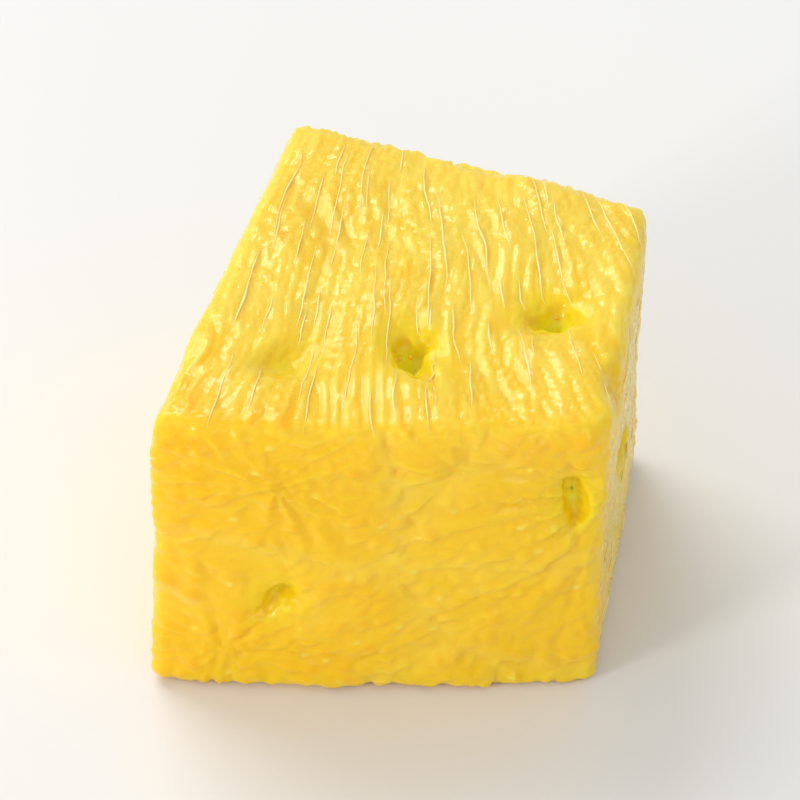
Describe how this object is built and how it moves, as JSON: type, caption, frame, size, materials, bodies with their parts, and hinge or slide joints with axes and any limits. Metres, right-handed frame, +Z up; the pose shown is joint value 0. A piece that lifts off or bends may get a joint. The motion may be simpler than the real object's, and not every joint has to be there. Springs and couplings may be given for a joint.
{
  "type": "pineapple chunk",
  "caption": "Bite-sized block of fresh pineapple cut from a peeled ring slice, wider at the rind side, with shallow eye pits; it rests on its flat lower face.",
  "frame": {"origin": "centre of the bounding box, on the flat face that the chunk rests on", "axes": "+Z up along the fruit's axis, -Y out of the rind side, +X to the right when looking at the rind side"},
  "size_m": [0.0222, 0.021, 0.0161],
  "materials": {
    "flesh": "moist yellow fruit flesh with fine fibres, paler towards the core and deeper gold towards the rind",
    "fibre": "pale, moist plant fibre, a little translucent",
    "seed": "tiny unripe ovule, smooth, amber and moist"
  },
  "bodies": {
    "root": {"pineapple_chunk": "flesh"}
  },
  "joints": []
}
